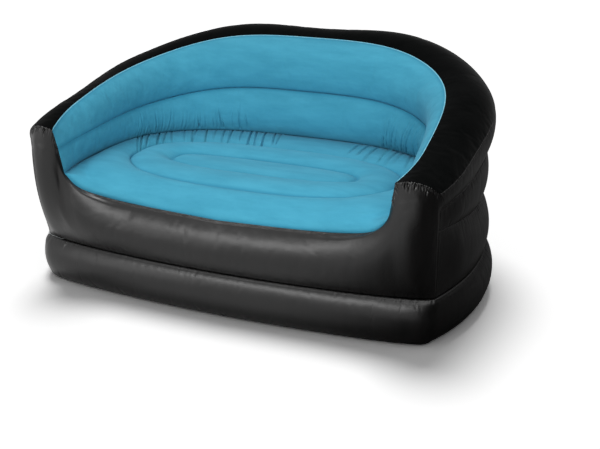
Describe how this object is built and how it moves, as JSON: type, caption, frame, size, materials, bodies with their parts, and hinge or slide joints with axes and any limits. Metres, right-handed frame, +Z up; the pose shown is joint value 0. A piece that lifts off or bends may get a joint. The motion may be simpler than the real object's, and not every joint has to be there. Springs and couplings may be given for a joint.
{
  "type": "inflatable sofa",
  "caption": "Inflatable two-seat sofa with a wrap-round back, black vinyl walls, blue flocked seat and inner back, and screw air valves at the rear",
  "frame": {"origin": "on the ground, under the centre of the sofa's bounding box", "axes": "+Z up, the seat opens towards -Y, +X to the right when looking at the front from -Y along +Y"},
  "size_m": [1.5428, 1.0814, 0.7667],
  "materials": {
    "black_vinyl": "satin calendered vinyl sheet",
    "blue_flock": "short velour flocking on vinyl sheet",
    "web_vinyl": "plain translucent vinyl sheet",
    "valve_plastic": "moulded",
    "valve_rubber": "moulded"
  },
  "bodies": {
    "sofa": {"base_floor_sheet": "black_vinyl", "base_wall_sheet": "black_vinyl", "front_sheet": "black_vinyl", "lower_tube_sheet": "black_vinyl", "middle_tube_sheet": "black_vinyl", "top_tube_side_sheet": "black_vinyl", "top_tube_rim_sheet": "black_vinyl", "seat_top_sheet": "blue_flock", "upper_back_sheet": "blue_flock", "lower_back_sheet": "blue_flock", "base_top_sheet": "web_vinyl", "lower_waist_web": "web_vinyl", "upper_waist_web": "web_vinyl", "outer_oval_web": "web_vinyl", "inner_oval_web": "web_vinyl", "base_valve_seat": "valve_plastic", "seat_valve_seat": "valve_plastic"},
    "base_valve_ring": {"base_valve_gasket": "valve_rubber"},
    "base_valve_plug": {"base_valve_plug": "valve_plastic"},
    "base_valve_cap": {"base_valve_cap": "valve_rubber"},
    "base_valve_flap": {"base_valve_flap": "valve_rubber"},
    "seat_valve_ring": {"seat_valve_gasket": "valve_rubber"},
    "seat_valve_plug": {"seat_valve_plug": "valve_plastic"},
    "seat_valve_cap": {"seat_valve_cap": "valve_rubber"},
    "seat_valve_flap": {"seat_valve_flap": "valve_rubber"}
  },
  "joints": [
    {"name": "base_valve_lift", "type": "slide", "parent": "sofa", "child": "base_valve_ring", "axis": [0.0797, 0.9633, -0.2564], "range_m": [0, 0.009]},
    {"name": "base_valve_turn", "type": "hinge", "parent": "base_valve_ring", "child": "base_valve_plug", "pos_m": [0.15026, 0.45042, 0.06767], "axis": [0.0797, 0.9633, -0.2564], "range_deg": [0, 1080]},
    {"name": "base_valve_cap_hinge", "type": "hinge", "parent": "base_valve_plug", "child": "base_valve_cap", "pos_m": [0.15152, 0.46559, 0.07863], "axis": [0.9966, -0.0825, 0], "range_deg": [0, 150]},
    {"name": "base_valve_flap_hinge", "type": "hinge", "parent": "base_valve_plug", "child": "base_valve_flap", "pos_m": [0.14931, 0.43889, 0.07984], "axis": [-0.9966, 0.0825, 0], "range_deg": [0, 60]},
    {"name": "seat_valve_lift", "type": "slide", "parent": "sofa", "child": "seat_valve_ring", "axis": [-0.1433, 0.9897, 0.0057], "range_m": [0, 0.009]},
    {"name": "seat_valve_turn", "type": "hinge", "parent": "seat_valve_ring", "child": "seat_valve_plug", "pos_m": [-0.24957, 0.44837, 0.24601], "axis": [-0.1433, 0.9897, 0.0057], "range_deg": [0, 1080]},
    {"name": "seat_valve_cap_hinge", "type": "hinge", "parent": "seat_valve_plug", "child": "seat_valve_cap", "pos_m": [-0.25126, 0.46007, 0.26058], "axis": [0.9897, 0.1433, 0], "range_deg": [0, 150]},
    {"name": "seat_valve_flap_hinge", "type": "hinge", "parent": "seat_valve_plug", "child": "seat_valve_flap", "pos_m": [-0.24751, 0.43417, 0.25473], "axis": [-0.9897, -0.1433, 0], "range_deg": [0, 60]}
  ],
  "couplings": [
    {"joint": "base_valve_lift", "follows": "base_valve_turn", "m_per_rad": 0.00047746},
    {"joint": "seat_valve_lift", "follows": "seat_valve_turn", "m_per_rad": 0.00047746}
  ]
}
